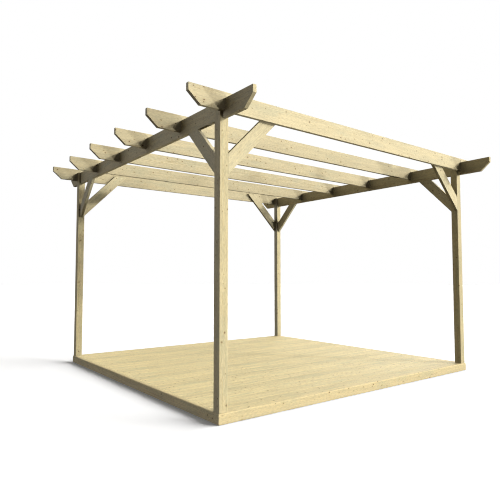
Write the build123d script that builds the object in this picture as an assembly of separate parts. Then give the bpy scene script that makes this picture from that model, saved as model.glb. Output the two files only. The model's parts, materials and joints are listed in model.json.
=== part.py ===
from build123d import *
import os
from math import ceil, floor, sqrt

# Pergola of planed softwood on a low timber deck.
# X runs along the rafters, Y along the beams from front to back, Z is up.
# The origin is on the ground, under the middle of the deck. All sizes are in millimetres.

# Deck
deck_width = 3086
deck_depth = 2977
deck_height = 75
fascia_thickness = 30
board_width = 135
board_thickness = 28
least_board_gap = 3
joist_width = 47
joist_spacing = 500

# Posts
post_section = 69
post_setback = 7
headroom = 1967

# Beams, housed in the tops of the posts
beam_thickness = 30
beam_depth = 130
beam_front_overhang = 336
beam_back_overhang = 286

# Rafters, notched over the beams
rafter_count = 6
rafter_thickness = 30
rafter_depth = 130
rafter_overhang = 265
rafter_rise = 42
rafter_notch_share = 0.5

# Tails of beams and rafters: an upright nose, then a bevel to the lower edge
tail_nose = 51
tail_run = 92

# Braces at 45 degrees
brace_thickness = 30
brace_width = 101
rafter_brace_drop = 277
rafter_brace_lap = 103
beam_brace_drop = 249

# Cuts run past the faces that they leave by this much
overrun = 10

# Levels above the ground
beam_bottom = deck_height + headroom
beam_top = beam_bottom + beam_depth
rafter_bottom = beam_bottom + rafter_rise
rafter_top = rafter_bottom + rafter_depth
notch_level = rafter_bottom + (beam_top - rafter_bottom) * rafter_notch_share
brace_upright_cut = brace_width * sqrt(2)

# Places measured from the middle of the deck
post_outer_x = deck_width / 2 - post_setback
post_outer_y = deck_depth / 2 - post_setback
post_inner_x = post_outer_x - post_section
post_inner_y = post_outer_y - post_section
beam_x = post_outer_x - post_section / 2
beam_front_end = -post_outer_y - beam_front_overhang
beam_back_end = post_outer_y + beam_back_overhang
rafter_end = post_outer_x + rafter_overhang
first_rafter_y = post_outer_y + rafter_thickness / 2
rafter_pitch = 2 * first_rafter_y / (rafter_count - 1)
rafter_ys = [-first_rafter_y + rafter_pitch * i for i in range(rafter_count)]

sides_x = {"left": -1, "right": 1}
sides_y = {"front": -1, "back": 1}


def block(x0, x1, y0, y1, z0, z1):
    """A square-edged piece between two opposite corners."""
    size = Box(abs(x1 - x0), abs(y1 - y0), z1 - z0)
    return Pos((x0 + x1) / 2, (y0 + y1) / 2, (z0 + z1) / 2) * size


def plank_across(outline, y_middle, thickness):
    """A plank that stands in the XZ plane, from its outline of (x, z) points."""
    face = Plane.XZ * make_face(Polyline(*outline, close=True))
    return Pos(0, y_middle, 0) * extrude(face, amount=thickness / 2, both=True)


def plank_along(outline, x_middle, thickness):
    """A plank that stands in the YZ plane, from its outline of (y, z) points."""
    face = Plane.YZ * make_face(Polyline(*outline, close=True))
    return Pos(x_middle, 0, 0) * extrude(face, amount=thickness / 2, both=True)


def tailed_outline(start, end, bottom, top):
    """A long timber with both lower corners cut back to a bevelled tail."""
    nose = top - tail_nose
    return [
        (start, top), (end, top), (end, nose), (end - tail_run, bottom),
        (start + tail_run, bottom), (start, nose),
    ]


def brace_outline(post_face, inwards, upper, top):
    """A 45 degree brace: upright cut on the post from upper downwards, level cut at its top."""
    lower = upper - brace_upright_cut
    return [
        (post_face, lower),
        (post_face, upper),
        (post_face + inwards * (top - upper), top),
        (post_face + inwards * (top - lower), top),
    ]


def fascia_board(length, offset):
    """A deck edge board along X with mitred ends, its outer face at y = -offset."""
    outer = length / 2
    inner = outer - fascia_thickness
    corners = [
        (-outer, -offset), (outer, -offset),
        (inner, fascia_thickness - offset), (-inner, fascia_thickness - offset),
    ]
    return extrude(make_face(Polyline(*corners, close=True)), amount=deck_height)


def post(side_x, side_y):
    """A post that stands on the deck, slotted at its top for the beam."""
    x_inner, x_outer = side_x * post_inner_x, side_x * post_outer_x
    y_inner, y_outer = side_y * post_inner_y, side_y * post_outer_y
    timber = block(x_inner, x_outer, y_inner, y_outer, deck_height, beam_top)
    slot = block(
        side_x * beam_x - beam_thickness / 2, side_x * beam_x + beam_thickness / 2,
        y_inner - side_y * overrun, y_outer + side_y * overrun,
        beam_bottom, beam_top + overrun,
    )
    return timber - slot


def beam(side_x):
    """A beam with bevelled tails and a notch in its top under each rafter."""
    outline = tailed_outline(beam_front_end, beam_back_end, beam_bottom, beam_top)
    timber = plank_along(outline, side_x * beam_x, beam_thickness)
    for y in rafter_ys:
        timber -= block(
            side_x * beam_x - beam_thickness / 2 - overrun,
            side_x * beam_x + beam_thickness / 2 + overrun,
            y - rafter_thickness / 2, y + rafter_thickness / 2,
            notch_level, beam_top + overrun,
        )
    return timber


def rafter(y):
    """A rafter with bevelled tails, notched from below over both beams."""
    outline = tailed_outline(-rafter_end, rafter_end, rafter_bottom, rafter_top)
    timber = plank_across(outline, y, rafter_thickness)
    for side_x in sides_x.values():
        timber -= block(
            side_x * beam_x - beam_thickness / 2, side_x * beam_x + beam_thickness / 2,
            y - rafter_thickness / 2 - overrun, y + rafter_thickness / 2 + overrun,
            rafter_bottom - overrun, notch_level,
        )
    return timber


def rafter_brace(side_x, side_y):
    """A brace from a post's inner face, lapped on the end rafter's inner face."""
    outline = brace_outline(
        side_x * post_inner_x, -side_x,
        rafter_bottom - rafter_brace_drop, rafter_bottom + rafter_brace_lap)
    return plank_across(outline, side_y * (post_outer_y - brace_thickness / 2), brace_thickness)


def beam_brace(side_x, side_y):
    """A brace from a post's inner face, mitred under the beam and in line with it."""
    outline = brace_outline(
        side_y * post_inner_y, -side_y, beam_bottom - beam_brace_drop, beam_bottom)
    return plank_along(outline, side_x * beam_x, brace_thickness)


def joists():
    """Bearers under the boards from front to back, the outer two against the fascias."""
    outer_x = deck_width / 2 - fascia_thickness - joist_width / 2
    half_length = deck_depth / 2 - fascia_thickness
    bays = ceil(2 * outer_x / joist_spacing)
    pitch = 2 * outer_x / bays
    bearers = []
    for i in range(bays + 1):
        x = -outer_x + pitch * i
        bearers.append(block(
            x - joist_width / 2, x + joist_width / 2, -half_length, half_length,
            0, deck_height - board_thickness))
    return bearers


def deck_boards():
    """Boards along X inside the fascias, with equal gaps, lying on the joists."""
    room = deck_depth - 2 * fascia_thickness
    count = floor((room - least_board_gap) / (board_width + least_board_gap))
    gap = (room - count * board_width) / (count + 1)
    half_length = deck_width / 2 - fascia_thickness - gap
    boards = []
    for i in range(count):
        y = -room / 2 + gap + (board_width + gap) * i
        boards.append(block(
            -half_length, half_length, y, y + board_width,
            deck_height - board_thickness, deck_height))
    return boards


nodes = {"deck_boards": Compound(children=deck_boards())}
for number, bearer in enumerate(joists(), start=1):
    nodes[f"joist_{number}"] = bearer

nodes["fascia_front"] = fascia_board(deck_width, deck_depth / 2)
nodes["fascia_back"] = Rot(Z=180) * fascia_board(deck_width, deck_depth / 2)
nodes["fascia_right"] = Rot(Z=90) * fascia_board(deck_depth, deck_width / 2)
nodes["fascia_left"] = Rot(Z=-90) * fascia_board(deck_depth, deck_width / 2)

for name_x, side_x in sides_x.items():
    nodes[f"beam_{name_x}"] = beam(side_x)
    for name_y, side_y in sides_y.items():
        corner = f"{name_y}_{name_x}"
        nodes[f"post_{corner}"] = post(side_x, side_y)
        nodes[f"rafter_brace_{corner}"] = rafter_brace(side_x, side_y)
        nodes[f"beam_brace_{corner}"] = beam_brace(side_x, side_y)

for number, y in enumerate(rafter_ys, start=1):
    nodes[f"rafter_{number}"] = rafter(y)

os.makedirs("parts", exist_ok=True)
for name, shape in nodes.items():
    export_step(shape, f"parts/{name}.step")
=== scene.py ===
# %% [markdown]
# A timber pergola on a low deck. Four posts stand on the deck and hold two beams in slots cut in
# their tops. Six rafters are notched over the beams, and two braces stiffen each corner.
# Everything is one planed, pressure-treated softwood, so this lesson is mostly about timber: easing
# its edges, laying its grain along each piece, and lighting it softly against white.
# The construction comes from the CAD frame, which is loaded first and never moved.

# %% Load the frame
import json
import math
import random

import bmesh
import bpy
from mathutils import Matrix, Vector


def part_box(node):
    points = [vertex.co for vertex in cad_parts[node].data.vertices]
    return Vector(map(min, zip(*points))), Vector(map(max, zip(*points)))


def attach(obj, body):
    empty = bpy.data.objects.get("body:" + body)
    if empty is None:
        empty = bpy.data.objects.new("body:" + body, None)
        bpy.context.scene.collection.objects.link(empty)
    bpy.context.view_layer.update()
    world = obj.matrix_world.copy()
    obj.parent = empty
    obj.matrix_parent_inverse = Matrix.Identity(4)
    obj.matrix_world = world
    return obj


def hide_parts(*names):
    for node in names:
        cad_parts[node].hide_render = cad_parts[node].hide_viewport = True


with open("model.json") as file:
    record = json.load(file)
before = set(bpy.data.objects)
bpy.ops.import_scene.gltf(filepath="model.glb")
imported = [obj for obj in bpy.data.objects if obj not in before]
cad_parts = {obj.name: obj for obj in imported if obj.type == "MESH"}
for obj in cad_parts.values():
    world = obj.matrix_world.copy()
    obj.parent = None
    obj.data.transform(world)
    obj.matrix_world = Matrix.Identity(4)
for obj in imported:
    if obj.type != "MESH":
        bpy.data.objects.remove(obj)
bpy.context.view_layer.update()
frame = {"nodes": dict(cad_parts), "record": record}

slot_of = {part["node"]: part["material_slot"] for part in frame["record"]["subparts"]}
print("nodes:", len(frame["nodes"]), "slots:", sorted(set(slot_of.values())))

# %% [markdown]
# Before any looks, a few small helpers for node trees. A shader or a Geometry Nodes tree is a list
# of nodes and links, and writing each link on its own line hides the idea. Here a node is made with
# its settings and its inputs in one call: an input is either a value or the socket that feeds it.


# %% Helpers for node trees
def add_node(tree, kind, inputs=None, **settings):
    """A new node; inputs maps a socket's name or number to a value or to another node's output."""
    node = tree.nodes.new(kind)
    for key, value in settings.items():
        setattr(node, key, value)
    for socket, value in (inputs or {}).items():
        if isinstance(value, bpy.types.NodeSocket):
            tree.links.new(value, node.inputs[socket])
        else:
            node.inputs[socket].default_value = value
    return node


def maths(tree, operation, first, second=0.0):
    """The output of one Math node."""
    return add_node(tree, "ShaderNodeMath", {0: first, 1: second}, operation=operation).outputs[0]


def vector_maths(tree, operation, first, second):
    """The output of one Vector Math node."""
    return add_node(tree, "ShaderNodeVectorMath", {0: first, 1: second}, operation=operation).outputs[0]


def between(tree, value, low, high, low_result=0.0, high_result=1.0):
    """The value carried smoothly from the range low to high onto a range of results."""
    inputs = {"Value": value, "From Min": low, "From Max": high,
              "To Min": low_result, "To Max": high_result}
    return add_node(tree, "ShaderNodeMapRange", inputs, interpolation_type="SMOOTHSTEP").outputs[0]


def blend(tree, share, first, second, how="MIX"):
    """The output of one colour Mix node."""
    node = add_node(tree, "ShaderNodeMix", data_type="RGBA", blend_type=how, clamp_factor=True)
    for socket, value in ((node.inputs[0], share), (node.inputs[6], first), (node.inputs[7], second)):
        if isinstance(value, bpy.types.NodeSocket):
            tree.links.new(value, socket)
        else:
            socket.default_value = value
    return node.outputs[2]


print("helpers ready")

# %% [markdown]
# The timber's finish. Real planed softwood shows growth rings cut by the saw: long cathedral shapes
# on a flat-sawn face, straight lines on a narrow edge, arcs on a cut end. A flat picture of grain
# cannot do all three, so the pattern here is a solid one. Every timber carries an attribute named
# grain, its own coordinates in metres: along the timber, across it and through it, measured from the
# heart of the tree. Distance from that heart makes the rings, so each face shows what a saw would.
# Knots are small balls scattered through the wood, and the rings swing round them. Three more
# attributes say where a face cuts across the grain, where an edge was rounded by the plane, and how
# far from its middle a point of a beam or rafter lies. A sawn end shows its rings more faintly. A
# rounded edge is painted a little lighter, a painted highlight, and the sides of the tails a little
# darker, a painted shade.

# %% The softwood node group
# Rings and knots, in metres; the knot's edge and the wood that swings round it are in knot radii
RING_GAP = 0.0034
RING_PROFILE = ((0.5, 0.12), (0.88, 1.0))
RING_SWING = 0.006
HEART_WANDER = 0.030
KNOT_CELL = (0.060, 0.034, 0.026)
KNOT_LENGTHENING = 0.8
KNOT_RADIUS_LEAST, KNOT_RADIUS_SPAN = 0.0018, 0.0046
KNOT_EDGE = (1.15, 0.75)
KNOT_SURROUND = (3.2, 0.8)
KNOT_STAIN = 0.30
KNOT_POLISH = -0.12

# Noises: cycles a metre along, across and through the timber
HEART_WANDER_RATE = (0.9, 5.0, 5.0)
FIBRE_RATE = (9.0, 260.0, 260.0)
FLECK_RATE = (45.0, 130.0, 130.0)
STREAK_RATE = (3.2, 38.0, 38.0)
PATCH_RATE = (3.5, 12.0, 12.0)
FINE_DETAIL, COARSE_DETAIL = 2.0, 3.0

# Bands: a range of noise, then the range of results that it is carried onto
PATCH_BAND = (0.45, 0.75, 0.0, 0.55)
STREAK_BAND = (0.25, 0.75, 0.92, 1.07)
FIBRE_BAND = (0.2, 0.8, -0.05, 0.05)
FLECK_BAND = (0.25, 0.75, -0.10, 0.10)
ROUGH_BAND = (0.2, 0.8, 0.58, 0.74)

# Edges with a painted highlight, sawn ends, tails with painted shade, and the depth of the grain
ARRIS_PAINTED_HIGHLIGHT = 1.10
SAWN_END = (0.70, 0.95)
LATE_SHARE, END_LATE_SHARE = 0.5, 0.35
END_TONE = 1.01
# Painted shade: where the tails begin and how much darker their sides are painted
TAIL_SHADE_RANGE = (0.82, 0.92)
TAIL_PAINTED_SHADE = 0.89
LATE_RIDGE = 0.5
BUMP_STRENGTH, BUMP_DEPTH = 0.3, 0.0005


def attribute(tree, name, output="Fac"):
    """A named attribute of the mesh."""
    return add_node(tree, "ShaderNodeAttribute", attribute_name=name).outputs[output]


def noise(tree, grain, rate, detail):
    """Noise on the grain coordinates, each axis at its own rate in cycles a metre."""
    place = vector_maths(tree, "MULTIPLY", grain, rate)
    return add_node(tree, "ShaderNodeTexNoise", {"Vector": place, "Scale": 1.0, "Detail": detail})


def knot_ratio(tree, grain):
    """Distance from the nearest knot's middle, in that knot's radii."""
    cells = vector_maths(tree, "DIVIDE", grain, KNOT_CELL)
    scatter = add_node(tree, "ShaderNodeTexVoronoi", {"Vector": cells, "Scale": 1.0}, feature="F1")
    apart = vector_maths(tree, "SUBTRACT", cells, scatter.outputs["Position"])
    metres = vector_maths(tree, "MULTIPLY", apart, (KNOT_CELL[0] * KNOT_LENGTHENING, *KNOT_CELL[1:]))
    distance = add_node(tree, "ShaderNodeVectorMath", {0: metres}, operation="LENGTH").outputs["Value"]
    lot = add_node(tree, "ShaderNodeSeparateColor", {0: scatter.outputs["Color"]}).outputs[0]
    extra = maths(tree, "MULTIPLY", maths(tree, "POWER", lot, 2.0), KNOT_RADIUS_SPAN)
    return maths(tree, "DIVIDE", distance, maths(tree, "ADD", extra, KNOT_RADIUS_LEAST))


def latewood(tree, grain, near_knot):
    """0 in pale spring wood, 1 in the dark line that ends each year's ring."""
    drift = noise(tree, grain, HEART_WANDER_RATE, FINE_DETAIL).outputs["Color"]
    centred = vector_maths(tree, "SUBTRACT", drift, (0.5, 0.5, 0.5))
    wander = vector_maths(tree, "MULTIPLY", centred, (HEART_WANDER,) * 3)
    swept = vector_maths(tree, "ADD", grain, wander)
    flat = vector_maths(tree, "MULTIPLY", swept, (0.0, 1.0, 1.0))
    radius = add_node(tree, "ShaderNodeVectorMath", {0: flat}, operation="LENGTH").outputs["Value"]
    swung = maths(tree, "ADD", radius, maths(tree, "MULTIPLY", near_knot, RING_SWING))
    year = maths(tree, "FRACT", maths(tree, "DIVIDE", swung, RING_GAP))
    line = add_node(tree, "ShaderNodeValToRGB", {"Fac": year})
    ramp = line.color_ramp.elements
    ramp[0].position, ramp[0].color = 0.0, (0, 0, 0, 1)
    ramp[1].position, ramp[1].color = 1.0, (0, 0, 0, 1)
    for place, grey in RING_PROFILE:
        ramp.new(place).color = (grey, grey, grey, 1)
    return line.outputs["Color"]


def make_softwood_group():
    """The shared finish: colour, roughness and normal of planed, treated softwood."""
    tree = bpy.data.node_groups.new("planed_softwood", "ShaderNodeTree")
    for name in ("Spring wood", "Late wood", "Patch", "Knot"):
        tree.interface.new_socket(name, in_out="INPUT", socket_type="NodeSocketColor")
    tree.interface.new_socket("Knot share", in_out="INPUT", socket_type="NodeSocketFloat")
    for name, kind in (("Colour", "Color"), ("Roughness", "Float"), ("Normal", "Vector")):
        tree.interface.new_socket(name, in_out="OUTPUT", socket_type="NodeSocket" + kind)
    given = add_node(tree, "NodeGroupInput").outputs
    grain = attribute(tree, "grain", "Vector")
    sawn_end = between(tree, attribute(tree, "cut_end"), *SAWN_END)
    # Painted shade: the sides of the tails, which are painted darker towards the ends
    tail_shade_ramp = between(tree, maths(tree, "ABSOLUTE", attribute(tree, "reach")), *TAIL_SHADE_RANGE)
    painted_tail_shade = maths(tree, "MULTIPLY", tail_shade_ramp, maths(tree, "SUBTRACT", 1.0, sawn_end))

    ratio = knot_ratio(tree, grain)
    knot = between(tree, ratio, *KNOT_EDGE)
    near_knot = between(tree, ratio, *KNOT_SURROUND)
    late = latewood(tree, grain, near_knot)
    fibre = noise(tree, grain, FIBRE_RATE, FINE_DETAIL).outputs[0]
    fleck = noise(tree, grain, FLECK_RATE, FINE_DETAIL).outputs[0]
    streak = noise(tree, grain, STREAK_RATE, COARSE_DETAIL).outputs[0]
    patch = noise(tree, grain, PATCH_RATE, COARSE_DETAIL).outputs[0]

    late_most = between(tree, sawn_end, 0.0, 1.0, LATE_SHARE, END_LATE_SHARE)
    late_share = maths(tree, "MULTIPLY", late, late_most)
    colour = blend(tree, late_share, given["Spring wood"], given["Late wood"])
    colour = blend(tree, between(tree, patch, *PATCH_BAND), colour, given["Patch"])
    light = between(tree, streak, *STREAK_BAND)
    for pattern, band in ((fibre, FIBRE_BAND), (fleck, FLECK_BAND)):
        light = maths(tree, "ADD", light, between(tree, pattern, *band))
    light = maths(tree, "MULTIPLY", light, attribute(tree, "tone"))
    # Painted highlight on rounded edges and painted shade on the tails' sides, with the sawn ends' own
    # tone
    for place, tone in ((sawn_end, END_TONE), (attribute(tree, "arris"), ARRIS_PAINTED_HIGHLIGHT),
                        (painted_tail_shade, TAIL_PAINTED_SHADE)):
        light = maths(tree, "MULTIPLY", light, between(tree, place, 0.0, 1.0, 1.0, tone))
    grey = add_node(tree, "ShaderNodeCombineColor", {0: light, 1: light, 2: light}).outputs[0]
    colour = blend(tree, 1.0, colour, grey, "MULTIPLY")
    colour = blend(tree, maths(tree, "MULTIPLY", near_knot, KNOT_STAIN), colour, given["Late wood"])
    colour = blend(tree, maths(tree, "MULTIPLY", knot, given["Knot share"]), colour, given["Knot"])

    rough = maths(tree, "ADD", between(tree, fibre, *ROUGH_BAND),
                  maths(tree, "MULTIPLY", knot, KNOT_POLISH))
    height = maths(tree, "ADD", maths(tree, "MULTIPLY", late, LATE_RIDGE), fibre)
    bump = add_node(tree, "ShaderNodeBump", {"Height": height, "Strength": BUMP_STRENGTH,
                                             "Distance": BUMP_DEPTH})
    add_node(tree, "NodeGroupOutput", {"Colour": colour, "Roughness": rough,
                                       "Normal": bump.outputs["Normal"]})
    return tree


softwood = make_softwood_group()
print("softwood group:", len(softwood.nodes), "nodes")

# %% [markdown]
# One group now serves a material for each kind of timber. Treated softwood is a pale straw colour
# with a trace of green from the preservative, and late wood and knots are browner. The kinds differ
# a little, as timber from different packs does: the boards are yellower than the frame and their
# knots are fainter, and the joists, which no sun reaches, stay greener. These are colours of the wood
# itself, without light.


# %% The timber materials
def rgb(red, green, blue):
    """A colour given as 0 to 255 display values, turned into the linear light that shaders use."""
    def linear(value):
        share = value / 255
        return share / 12.92 if share <= 0.04045 else ((share + 0.055) / 1.055) ** 2.4
    return (linear(red), linear(green), linear(blue), 1.0)


WOOD = {
    "Spring wood": rgb(235, 221, 178),
    "Late wood": rgb(207, 182, 126),
    "Patch": rgb(212, 205, 168),
    "Knot": rgb(112, 80, 46),
}
TINT = {
    "post_timber": (0.96, 0.93, 0.84),
    "beam_timber": (1.0, 0.97, 0.88),
    "rafter_timber": (0.97, 0.95, 0.91),
    "brace_timber": (1.0, 0.99, 0.95),
    "deck_board_timber": (1.065, 1.035, 0.92),
    "fascia_timber": (1.02, 0.965, 0.84),
    "joist_timber": (0.85, 0.86, 0.82),
}
KNOT_SHARE = {"deck_board_timber": 0.66, "fascia_timber": 0.95, "post_timber": 0.7}
KNOT_SHARE_USUAL = 0.88
SHEEN = 0.25


def new_material(name):
    """A material with nodes, and its tree."""
    material = bpy.data.materials.new(name)
    material.use_nodes = True
    return material, material.node_tree


def make_timber_material(slot):
    """Principled wood for one of the record's material slots."""
    material, tree = new_material(slot)
    wood = add_node(tree, "ShaderNodeGroup", node_tree=softwood)
    for name, colour in WOOD.items():
        wood.inputs[name].default_value = [c * t for c, t in zip(colour, TINT[slot])] + [1.0]
    wood.inputs["Knot share"].default_value = KNOT_SHARE.get(slot, KNOT_SHARE_USUAL)
    surface = tree.nodes["Principled BSDF"]
    surface.inputs["Specular IOR Level"].default_value = SHEEN
    for output, socket in (("Colour", "Base Color"), ("Roughness", "Roughness"), ("Normal", "Normal")):
        tree.links.new(wood.outputs[output], surface.inputs[socket])
    return material


timber_material = {slot: make_timber_material(slot) for slot in TINT}
print("materials:", sorted(timber_material))

# %% [markdown]
# The frame's timbers. The CAD solids are exact but knife-edged, and a planed timber has its long
# edges eased, which is what catches the light. A Bevel modifier would also round the notches, where
# a carpenter's cut stays sharp and the next timber fits tight. So each solid is copied, its loose
# triangles are merged into clean faces, and only edges away from joints are bevelled. A notch is
# found by its inner corners: they are the only concave edges of a timber. The deck's edge boards are
# rounded more, but only outside, where feet meet them; inside, the boards lie tight against them.
# These outer edges are the longest of a mitred board, which is how they are found.

# %% Easing the edges of a timber
MERGE_DISTANCE = 0.00002
FLAT_ANGLE = math.radians(1)
EASED_ANGLE = math.radians(20)
ALONG_LEAST = 0.999
ARRIS = {"post": 0.003, "beam": 0.002, "rafter": 0.002, "brace": 0.002, "fascia": 0.008,
         "joist": 0.002}
ARRIS_SEGMENTS = 2
TAILED = ("beam", "rafter")
OUTER_SHARE = 0.999


def kind_of(name):
    """post, beam, rafter, brace, fascia or joist."""
    words = name.split("_")
    return "brace" if "brace" in words else words[0]


def merged_copy(name):
    """The CAD node as a bmesh with its doubles merged and its flat faces whole."""
    shape = bmesh.new()
    shape.from_mesh(frame["nodes"][name].data)
    bmesh.ops.remove_doubles(shape, verts=shape.verts, dist=MERGE_DISTANCE)
    bmesh.ops.dissolve_limit(shape, angle_limit=FLAT_ANGLE, verts=shape.verts, edges=shape.edges)
    return shape


def finished_mesh(shape, name):
    """The bmesh as a new mesh; the bmesh itself is let go."""
    mesh = bpy.data.meshes.new(name)
    shape.to_mesh(mesh)
    shape.free()
    return mesh


def timber_axes(shape):
    """Unit vectors along the timber, across its wide face and through its thickness."""
    longest = max(shape.edges, key=lambda edge: edge.calc_length())
    along = (longest.verts[1].co - longest.verts[0].co).normalized()
    widest = max(shape.faces, key=lambda face: face.calc_area())
    through = widest.normal.copy()
    return along, through.cross(along), through


def ease_edges(shape, along, radius, with_ends, least_length=0.0):
    """Rounds the outer edges of a timber, marks them as arris and leaves its joints sharp."""
    arris = shape.faces.layers.float.new("arris")
    concave = [edge for edge in shape.edges if edge.is_manifold and not edge.is_convex
               and edge.calc_face_angle() > EASED_ANGLE]
    joint_faces = {face for edge in concave for face in edge.link_faces}
    eased = []
    for edge in shape.edges:
        direction = (edge.verts[1].co - edge.verts[0].co).normalized()
        outer = edge.is_convex and edge.calc_face_angle() > EASED_ANGLE
        lengthwise = abs(direction.dot(along)) > ALONG_LEAST and edge.calc_length() > least_length
        if outer and (with_ends or lengthwise) and not joint_faces.intersection(edge.link_faces):
            eased.append(edge)
    rounded = bmesh.ops.bevel(shape, geom=eased, offset=radius, segments=ARRIS_SEGMENTS, profile=0.5,
                              affect="EDGES", clamp_overlap=True)
    for face in rounded["faces"]:
        face[arris] = 1.0


print("easing radii in mm:", {kind: radius * 1000 for kind, radius in ARRIS.items()})

# %% [markdown]
# Each timber also gets its attributes: grain, tone, cut_end and, if it has tails, reach. A value kept
# at the corners runs evenly between them, so one number at each is enough even on a long face.
# The heart of the tree lies inside a post and mostly outside a sawn plank, and no two timbers come
# from the same place in a log, so both are drawn at random. A fixed seed keeps the draw the same on
# every run. Most timbers differ only a little in tone; those that the photograph shows lighter or
# darker are named in a table. Their tone there is painted light and shade, partly the wood's own:
# the rafters are painted darker towards the back, and the front rafter lighter.

# %% Making every timber of the frame
HEART_RANGE = {"post": 0.030, "joist": 0.035}
PLANK_HEART_RANGE = 0.075
LOG_LENGTH = 40.0
# Painted light and shade, partly the wood's own tone: the rafters darker towards the back, the front
# one lighter
PAINTED_LIT_AND_SHADED_TONE = {
    "rafter_1": 1.115, "rafter_2": 0.99, "rafter_3": 0.97,
    "rafter_4": 0.90, "rafter_5": 0.865, "rafter_6": 0.90,
    "rafter_brace_front_right": 1.08, "rafter_brace_back_left": 0.95, "rafter_brace_back_right": 0.91,
    "post_front_right": 0.965,
}
TONE_SPREAD = 0.012
TIMBER_SEED = 7
draw = random.Random(TIMBER_SEED)


def set_attribute(mesh, name, kind, domain, values):
    """Adds a named attribute and fills it from a flat list."""
    added = mesh.attributes.new(name, kind, domain)
    added.data.foreach_set("vector" if kind == "FLOAT_VECTOR" else "value", values)


def lay_grain(mesh, axes, heart, shift, tone, tailed):
    """Stores the grain coordinates, the tone, how squarely each face cuts the grain and, for a timber
    with tails, how far each point lies from its middle, -1 and 1 being its ends."""
    along, across, through = axes
    middle = sum((v.co for v in mesh.vertices), Vector()) / len(mesh.vertices)
    grain = []
    for vertex in mesh.vertices:
        place = vertex.co - middle
        grain += [place.dot(along) + shift, place.dot(across) + heart[0], place.dot(through) + heart[1]]
    set_attribute(mesh, "grain", "FLOAT_VECTOR", "POINT", grain)
    if tailed:
        places = [vertex.co.dot(along) for vertex in mesh.vertices]
        low, high = min(places), max(places)
        reach = [(2 * place - low - high) / (high - low) for place in places]
        set_attribute(mesh, "reach", "FLOAT", "POINT", reach)
    set_attribute(mesh, "tone", "FLOAT", "POINT", [tone] * len(mesh.vertices))
    set_attribute(mesh, "cut_end", "FLOAT", "FACE", [abs(p.normal.dot(along)) for p in mesh.polygons])


def show_piece(name, mesh, material, slot, *stands_for):
    """A finished piece at the origin that rides with the frame."""
    mesh.materials.clear()
    mesh.materials.append(material)
    piece = bpy.data.objects.new(name, mesh)
    bpy.context.scene.collection.objects.link(piece)
    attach(piece, "root")
    if stands_for:
        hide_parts(*stands_for)
    return piece


def plane_timber(name):
    """One timber of the frame, eased, with its grain laid along it."""
    kind = kind_of(name)
    shape = merged_copy(name)
    axes = timber_axes(shape)
    longest = max(edge.calc_length() for edge in shape.edges)
    least_length = OUTER_SHARE * longest if kind == "fascia" else 0.0
    ease_edges(shape, axes[0], ARRIS[kind], kind in TAILED, least_length)
    mesh = finished_mesh(shape, "planed_" + name)
    far = HEART_RANGE.get(kind, PLANK_HEART_RANGE)
    heart = (draw.uniform(-far, far), draw.uniform(-far, far))
    tone = PAINTED_LIT_AND_SHADED_TONE.get(name, 1.0) + draw.uniform(-TONE_SPREAD, TONE_SPREAD)
    lay_grain(mesh, axes, heart, draw.uniform(0, LOG_LENGTH), tone, kind in TAILED)
    return show_piece("planed_" + name, mesh, timber_material[slot_of[name]], slot_of[name], name)


timbers = [plane_timber(name) for name in sorted(frame["nodes"]) if name != "deck_boards"]
print("timbers:", len(timbers), "faces:", sum(len(t.data.polygons) for t in timbers))

# %% [markdown]
# Two things on the deck repeat, its boards and their screws, so Geometry Nodes makes both. A few
# helpers come first: one starts a tree with named inputs, so that its values can be changed without
# opening it, two wrap nodes that are used often, and the last runs a tree on a mesh. It gives back a
# plain mesh, and no modifier is left behind.

# %% Helpers for Geometry Nodes
RANDOM_SOCKETS = {"FLOAT": (2, 3, 1), "FLOAT_VECTOR": (0, 1, 0)}
RANDOM_SEED_SOCKET = 8


def new_geometry_tree(name, takes, values, gives):
    """A tree with one geometry in, named values and one geometry out; returned with its inputs."""
    tree = bpy.data.node_groups.new(name, "GeometryNodeTree")
    tree.interface.new_socket(takes, in_out="INPUT", socket_type="NodeSocketGeometry")
    for label, kind in values.items():
        tree.interface.new_socket(label, in_out="INPUT", socket_type="NodeSocket" + kind)
    tree.interface.new_socket(gives, in_out="OUTPUT", socket_type="NodeSocketGeometry")
    return tree, add_node(tree, "NodeGroupInput").outputs


def random_value(tree, kind, least, most, seed):
    """The output of one Random Value node; each kind has sockets of its own, known by number."""
    low, high, output = RANDOM_SOCKETS[kind]
    inputs = {low: least, high: most, RANDOM_SEED_SOCKET: seed}
    return add_node(tree, "FunctionNodeRandomValue", inputs, data_type=kind).outputs[output]


def store(tree, geometry, name, value, kind, domain):
    """The geometry with one more named attribute."""
    inputs = {"Geometry": geometry, "Name": name, "Value": value}
    return add_node(tree, "GeometryNodeStoreNamedAttribute", inputs,
                    data_type=kind, domain=domain).outputs[0]


def grow(name, mesh, tree, values):
    """The plain mesh that a Geometry Nodes tree makes from a mesh and named values."""
    maker = bpy.data.objects.new(name, mesh)
    bpy.context.scene.collection.objects.link(maker)
    modifier = maker.modifiers.new(name, "NODES")
    modifier.node_group = tree
    identifier = {item.name: item.identifier for item in tree.interface.items_tree
                  if item.in_out == "INPUT"}
    for key, value in values.items():
        modifier[identifier[key]] = value
    evaluated = maker.evaluated_get(bpy.context.evaluated_depsgraph_get())
    grown = bpy.data.meshes.new_from_object(evaluated)
    maker.modifiers.remove(modifier)
    bpy.data.objects.remove(maker)
    grown.name = name
    return grown


print("Geometry Nodes helpers ready")

# %% [markdown]
# First the boards. One board is planed as a mesh, and the tree sets it out at an even pitch.
# The first board and the pitch are read from the CAD node, so the boards always lie where the solids
# are. The boards were laid pack by pack, three to a pack, and go from a darker to a lighter one in
# each: the tree works that tone out from the board's number and adds a little chance to it.

# %% The deck board tree
BOARD_ARRIS = 0.003
END_CLEARANCE = 0.001
PACK_SIZE = 3
PACK_TONE_STEP = 0.04
BOARD_TONE_CHANCE = 0.005
BOARD_SEED = 3


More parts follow.
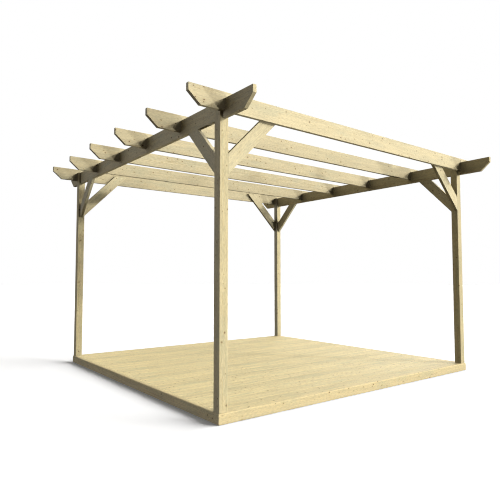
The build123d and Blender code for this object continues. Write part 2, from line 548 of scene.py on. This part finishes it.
def deck_levels():
    """The y of every board's front and back edge, from front to back."""
    return sorted({round(vertex.co.y, 4) for vertex in frame["nodes"]["deck_boards"].data.vertices})


def first_board_mesh():
    """The front board on its own, with its long edges eased."""
    low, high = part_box("deck_boards")
    front, back = deck_levels()[:2]
    half_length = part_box("fascia_right")[0].x - END_CLEARANCE
    shape = bmesh.new()
    bmesh.ops.create_cube(shape, size=1.0)
    for vertex in shape.verts:
        vertex.co = Vector((half_length if vertex.co.x > 0 else -half_length,
                            back if vertex.co.y > 0 else front,
                            high.z if vertex.co.z > 0 else low.z))
    ease_edges(shape, Vector((1, 0, 0)), BOARD_ARRIS, False)
    return finished_mesh(shape, "first_board")


def make_deck_tree():
    """Geometry Nodes: repeat the given board along Y, with a tone and a grain of its own each time."""
    tree, given = new_geometry_tree("lay_deck_boards", "Board", {
        "Count": "Int", "Pitch": "Float", "Pack size": "Int", "Pack tone step": "Float",
        "Tone chance": "Float", "Log length": "Float", "Heart range": "Float", "Seed": "Int",
        "Material": "Material"}, "Deck")
    step = add_node(tree, "ShaderNodeCombineXYZ", {"Y": given["Pitch"]}).outputs[0]
    line = add_node(tree, "GeometryNodeMeshLine", {"Count": given["Count"], "Offset": step},
                    mode="OFFSET").outputs[0]
    laid = add_node(tree, "GeometryNodeInstanceOnPoints",
                    {"Points": line, "Instance": given["Board"]}).outputs[0]

    number = add_node(tree, "GeometryNodeInputIndex").outputs[0]
    in_pack = maths(tree, "MODULO", number, given["Pack size"])
    pack_middle = maths(tree, "DIVIDE", maths(tree, "SUBTRACT", given["Pack size"], 1.0), 2.0)
    centred = maths(tree, "SUBTRACT", in_pack, pack_middle)
    chance = random_value(tree, "FLOAT", maths(tree, "MULTIPLY", given["Tone chance"], -1.0),
                          given["Tone chance"], given["Seed"])
    stepped = maths(tree, "MULTIPLY", centred, given["Pack tone step"])
    tone = maths(tree, "ADD", maths(tree, "ADD", stepped, chance), 1.0)
    most = add_node(tree, "ShaderNodeCombineXYZ", {"X": given["Log length"], "Y": given["Heart range"],
                                                   "Z": given["Heart range"]}).outputs[0]
    least = vector_maths(tree, "MULTIPLY", most, (-1.0, -1.0, -1.0))
    cut_from = random_value(tree, "FLOAT_VECTOR", least, most, given["Seed"])
    laid_at = add_node(tree, "ShaderNodeCombineXYZ",
                       {"Y": maths(tree, "MULTIPLY", number, given["Pitch"])}).outputs[0]
    for name, value, kind in (("tone", tone, "FLOAT"), ("cut_from", cut_from, "FLOAT_VECTOR"),
                              ("laid_at", laid_at, "FLOAT_VECTOR")):
        laid = store(tree, laid, name, value, kind, "INSTANCE")

    whole = add_node(tree, "GeometryNodeRealizeInstances", {"Geometry": laid}).outputs[0]
    place = add_node(tree, "GeometryNodeInputPosition").outputs[0]
    for name, how in (("laid_at", "SUBTRACT"), ("cut_from", "ADD")):
        shift = add_node(tree, "GeometryNodeInputNamedAttribute", {"Name": name},
                         data_type="FLOAT_VECTOR").outputs[0]
        place = vector_maths(tree, how, place, shift)
    whole = store(tree, whole, "grain", place, "FLOAT_VECTOR", "POINT")
    whole = add_node(tree, "GeometryNodeSetMaterial",
                     {"Geometry": whole, "Material": given["Material"]}).outputs[0]
    add_node(tree, "NodeGroupOutput", {"Deck": whole})
    return tree


levels = deck_levels()
board_pitch = levels[2] - levels[0]
board_count = len(levels) // 2
deck_mesh = grow("planed_deck_boards", first_board_mesh(), make_deck_tree(), {
    "Count": board_count, "Pitch": board_pitch, "Pack size": PACK_SIZE,
    "Pack tone step": PACK_TONE_STEP, "Tone chance": BOARD_TONE_CHANCE, "Log length": LOG_LENGTH,
    "Heart range": PLANK_HEART_RANGE, "Seed": BOARD_SEED,
    "Material": timber_material["deck_board_timber"]})
set_attribute(deck_mesh, "cut_end", "FLOAT", "FACE", [abs(p.normal.x) for p in deck_mesh.polygons])
deck = show_piece("planed_deck_boards", deck_mesh, timber_material["deck_board_timber"],
                  "deck_board_timber", "deck_boards")
print("boards:", board_count, "pitch mm:", round(board_pitch * 1000, 1),
      "faces:", len(deck_mesh.polygons))

# %% [markdown]
# The boards are held down by screws, two in every board over every joist: far too many to place by
# hand, and a picture of dots would not stand up close to. So one head is modelled, a countersunk
# disc with a driver's socket in it and only a few dozen faces, and Geometry Nodes repeats it. Points
# in a line over the joists each carry a line over the boards, and those carry a pair. Every screw is
# driven by hand, so each is turned at random and strays a little from its mark.

# %% The deck screws
SCREW_RADIUS = 0.004
SCREW_SIDES = 10
SCREW_RINGS = ((1.0, -0.0010), (1.0, 0.0003), (0.85, 0.0007), (0.42, 0.0007), (0.33, -0.0003))
SCREWS_ACROSS = 2
SCREW_FROM_EDGE = 0.025
SCREW_WANDER = 0.0015
SCREW_SEED = 5
FILM, WORN_FILM = rgb(214, 194, 144), rgb(184, 162, 114)
FILM_METAL = 0.1
WEAR_RATE = 220.0
WEAR_BAND = (0.35, 0.7)
FILM_ROUGH_BAND = (0.3, 0.7, 0.40, 0.60)


def screw_head_mesh():
    """One screw head that starts just below the board's face; a ring is (share of radius, height)."""
    shape = bmesh.new()
    turns = [2 * math.pi * side / SCREW_SIDES for side in range(SCREW_SIDES)]
    rings = []
    for share, height in SCREW_RINGS:
        radius = SCREW_RADIUS * share
        rings.append([shape.verts.new((radius * math.cos(turn), radius * math.sin(turn), height))
                      for turn in turns])
    for lower, upper in zip(rings, rings[1:]):
        for side in range(SCREW_SIDES):
            after = (side + 1) % SCREW_SIDES
            shape.faces.new((lower[side], lower[after], upper[after], upper[side]))
    shape.faces.new(list(reversed(rings[0])))
    shape.faces.new(rings[-1])
    return finished_mesh(shape, "screw_head")


def make_screw_material():
    """Coated steel: a tan film, worn unevenly."""
    material, tree = new_material("coated_steel")
    place = add_node(tree, "ShaderNodeTexCoord").outputs["Object"]
    wear = add_node(tree, "ShaderNodeTexNoise",
                    {"Vector": place, "Scale": WEAR_RATE, "Detail": FINE_DETAIL}).outputs[0]
    surface = tree.nodes["Principled BSDF"]
    surface.inputs["Metallic"].default_value = FILM_METAL
    colour = blend(tree, between(tree, wear, *WEAR_BAND), FILM, WORN_FILM)
    tree.links.new(colour, surface.inputs["Base Color"])
    tree.links.new(between(tree, wear, *FILM_ROUGH_BAND), surface.inputs["Roughness"])
    return material


def make_screw_tree():
    """Geometry Nodes: the given head at every crossing of board and joist, in pairs."""
    tree, given = new_geometry_tree("set_deck_screws", "Head", {
        "First": "Vector", "Joists": "Int", "Joist pitch": "Float", "Boards": "Int",
        "Board pitch": "Float", "Pair gap": "Float", "Wander": "Float", "Seed": "Int",
        "Material": "Material"}, "Screws")
    over_joists = add_node(tree, "ShaderNodeCombineXYZ", {"X": given["Joist pitch"]}).outputs[0]
    marks = add_node(tree, "GeometryNodeMeshLine", {"Count": given["Joists"], "Offset": over_joists,
                                                    "Start Location": given["First"]},
                     mode="OFFSET").outputs[0]
    for count, gap in ((given["Boards"], given["Board pitch"]), (SCREWS_ACROSS, given["Pair gap"])):
        step = add_node(tree, "ShaderNodeCombineXYZ", {"Y": gap}).outputs[0]
        line = add_node(tree, "GeometryNodeMeshLine", {"Count": count, "Offset": step},
                        mode="OFFSET").outputs[0]
        marks = add_node(tree, "GeometryNodeInstanceOnPoints",
                         {"Points": marks, "Instance": line}).outputs[0]
        marks = add_node(tree, "GeometryNodeRealizeInstances", {"Geometry": marks}).outputs[0]

    far = add_node(tree, "ShaderNodeCombineXYZ",
                   {"X": given["Wander"], "Y": given["Wander"]}).outputs[0]
    stray = random_value(tree, "FLOAT_VECTOR", vector_maths(tree, "MULTIPLY", far, (-1.0, -1.0, 0.0)),
                         far, given["Seed"])
    marks = add_node(tree, "GeometryNodeSetPosition", {"Geometry": marks, "Offset": stray}).outputs[0]
    turn = random_value(tree, "FLOAT_VECTOR", (0.0, 0.0, 0.0), (0.0, 0.0, 2 * math.pi),
                        maths(tree, "ADD", given["Seed"], 1.0))
    heads = add_node(tree, "GeometryNodeInstanceOnPoints",
                     {"Points": marks, "Instance": given["Head"], "Rotation": turn}).outputs[0]
    heads = add_node(tree, "GeometryNodeRealizeInstances", {"Geometry": heads}).outputs[0]
    heads = add_node(tree, "GeometryNodeSetMaterial",
                     {"Geometry": heads, "Material": given["Material"]}).outputs[0]
    add_node(tree, "NodeGroupOutput", {"Screws": heads})
    return tree


joist_xs = sorted(sum(corner.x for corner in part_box(name)) / 2
                  for name in frame["nodes"] if kind_of(name) == "joist")
coated_steel = make_screw_material()
screw_mesh = grow("deck_screws", screw_head_mesh(), make_screw_tree(), {
    "First": (joist_xs[0], levels[0] + SCREW_FROM_EDGE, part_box("deck_boards")[1].z),
    "Joists": len(joist_xs), "Joist pitch": joist_xs[1] - joist_xs[0], "Boards": board_count,
    "Board pitch": board_pitch, "Pair gap": levels[1] - levels[0] - 2 * SCREW_FROM_EDGE,
    "Wander": SCREW_WANDER, "Seed": SCREW_SEED, "Material": coated_steel})
screws = show_piece("deck_screws", screw_mesh, coated_steel, None)
print("screws:", len(joist_xs) * board_count * SCREWS_ACROSS, "faces:", len(screw_mesh.polygons))

# %% [markdown]
# The studio: a plain pale floor, white all round, and soft light. A front light with a small sun in
# its middle comes from the front right: the wide one models the faces, the small one draws the posts'
# shadows on the deck. A large soft light from the right does the tops, and a low fill stands for what
# a pale floor throws back up. The left sides face away from all of these, so weak fills light them
# from the left: a cool one outside and a warm one inside, where timber faces timber.
# Light linking tells a lamp which pieces it lights. It keeps the two fills apart, and lets the floor
# have a light of its own that gives the deck a soft shadow. The floor is set whiter than any real one,
# so that it runs into the white behind it. The lamps are few, so Cycles picks among them evenly,
# without its light tree. Bounced light is off, because the fills already stand for it, and a pixel
# filter a little narrower than usual keeps thin edges crisp.

# %% Camera, floor and light
CAMERA_PLACE = (-3.3223, -4.1348, 0.9669)
CAMERA_TURN = (math.radians(93.205), 0.0, math.radians(-37.569))
CAMERA_LENS = 34.655
SENSOR_WIDTH = 36.0
FLOOR_RADIUS, FLOOR_SIDES = 60.0, 96
FLOOR_WHITE = (1.17, 1.165, 1.155, 1.0)
FLOOR_GLOW = 0.035
SKY = (0.105, 0.105, 0.110, 1.0)
BELOW = (0.035, 0.030, 0.020, 1.0)
HORIZON_BLUR = 0.05
PIXEL_FILTER = 1.1
WHITE = (1.0, 1.0, 1.0)

# A lamp: azimuth, elevation and the angle that it fills, in degrees, then its strength and tint
LIGHTS = {
    "front_light": (-50, 20, 35, 0.55, WHITE),
    "front_sun": (-52, 19.5, 4.5, 0.38, WHITE),
    "right_light": (12, 32, 60, 0.95, WHITE),
    "floor_light": (-23, 29, 68, 1.33, WHITE),
    "low_fill": (-52, -28.5, 5, 0.33, (1.0, 1.03, 1.10)),
    "left_fill": (152, 11, 45, 0.136, (1.0, 1.07, 1.38)),
    "inner_fill": (158, 18, 45, 0.143, (1.0, 0.94, 0.77)),
}
LEFT_SIDE = (
    "post_front_left", "post_back_left", "post_back_right", "beam_left", "beam_brace_front_left",
    "beam_brace_back_left", "fascia_left", *(f"rafter_{number}" for number in range(1, 7)),
)


def make_camera():
    """The camera at the photograph's place, angle and lens."""
    data = bpy.data.cameras.new("camera")
    data.lens = CAMERA_LENS
    data.sensor_width = SENSOR_WIDTH
    camera = bpy.data.objects.new("camera", data)
    camera.location = CAMERA_PLACE
    camera.rotation_euler = CAMERA_TURN
    bpy.context.scene.collection.objects.link(camera)
    bpy.context.scene.camera = camera


def make_floor():
    """A round white floor under the deck."""
    shape = bmesh.new()
    bmesh.ops.create_circle(shape, cap_ends=True, segments=FLOOR_SIDES, radius=FLOOR_RADIUS)
    mesh = finished_mesh(shape, "floor")
    material, tree = new_material("floor_white")
    tree.nodes.clear()
    matt = add_node(tree, "ShaderNodeBsdfDiffuse", {"Color": FLOOR_WHITE}).outputs[0]
    glow = add_node(tree, "ShaderNodeEmission",
                    {"Color": FLOOR_WHITE, "Strength": FLOOR_GLOW}).outputs[0]
    lit = add_node(tree, "ShaderNodeAddShader", {0: matt, 1: glow}).outputs[0]
    add_node(tree, "ShaderNodeOutputMaterial", {"Surface": lit})
    mesh.materials.append(material)
    floor = bpy.data.objects.new("floor", mesh)
    bpy.context.scene.collection.objects.link(floor)
    floor.visible_shadow = False
    floor.visible_diffuse = False
    floor.visible_glossy = False
    return floor


def make_light(name, azimuth, elevation, angle, strength, tint):
    """A distant lamp; a white surface that faces it shows strength as its brightness."""
    data = bpy.data.lights.new(name, "SUN")
    data.energy = strength * math.pi
    data.color = tint
    data.angle = math.radians(angle)
    turn, rise = math.radians(azimuth), math.radians(elevation)
    source = Vector((math.cos(turn) * math.cos(rise), math.sin(turn) * math.cos(rise), math.sin(rise)))
    light = bpy.data.objects.new(name, data)
    light.rotation_euler = (-source).to_track_quat("-Z", "Y").to_euler()
    bpy.context.scene.collection.objects.link(light)
    return light


def light_only(light, pieces):
    """Light linking: the lamp lights these pieces and passes the others by."""
    lit = bpy.data.collections.new("lit_by_" + light.name)
    for piece in pieces:
        lit.objects.link(piece)
    light.light_linking.receiver_collection = lit


def make_surroundings():
    """White where the camera looks past the floor, and a dim even light on the timber."""
    world = bpy.data.worlds.new("studio")
    world.use_nodes = True
    tree = world.node_tree
    tree.nodes.clear()
    look = add_node(tree, "ShaderNodeTexCoord").outputs["Generated"]
    height = add_node(tree, "ShaderNodeSeparateXYZ", {0: look}).outputs["Z"]
    dome = blend(tree, between(tree, height, -HORIZON_BLUR, HORIZON_BLUR), BELOW, SKY)
    dim = add_node(tree, "ShaderNodeBackground", {"Color": dome, "Strength": 1.0}).outputs[0]
    white = add_node(tree, "ShaderNodeBackground", {"Color": (*WHITE, 1.0), "Strength": 1.0}).outputs[0]
    seen = add_node(tree, "ShaderNodeLightPath").outputs["Is Camera Ray"]
    mixed = add_node(tree, "ShaderNodeMixShader", {0: seen, 1: dim, 2: white}).outputs[0]
    add_node(tree, "ShaderNodeOutputWorld", {"Surface": mixed})
    bpy.context.scene.world = world


make_camera()
floor = make_floor()
lamps = {name: make_light(name, *settings) for name, settings in LIGHTS.items()}
on_the_left = [piece for piece in timbers if piece.name.removeprefix("planed_") in LEFT_SIDE]
light_only(lamps["left_fill"], on_the_left)
for name in ("front_sun", "right_light"):
    light_only(lamps[name], [*timbers, deck, screws])
light_only(lamps["floor_light"], [floor])
light_only(lamps["inner_fill"], [piece for piece in (*timbers, deck, screws, floor)
                                 if piece not in on_the_left])
make_surroundings()
bpy.context.scene.view_settings.view_transform = "Standard"
bpy.context.scene.cycles.diffuse_bounces = 0
bpy.context.scene.cycles.use_light_tree = False
bpy.context.scene.cycles.filter_width = PIXEL_FILTER
print("lights:", list(LIGHTS))
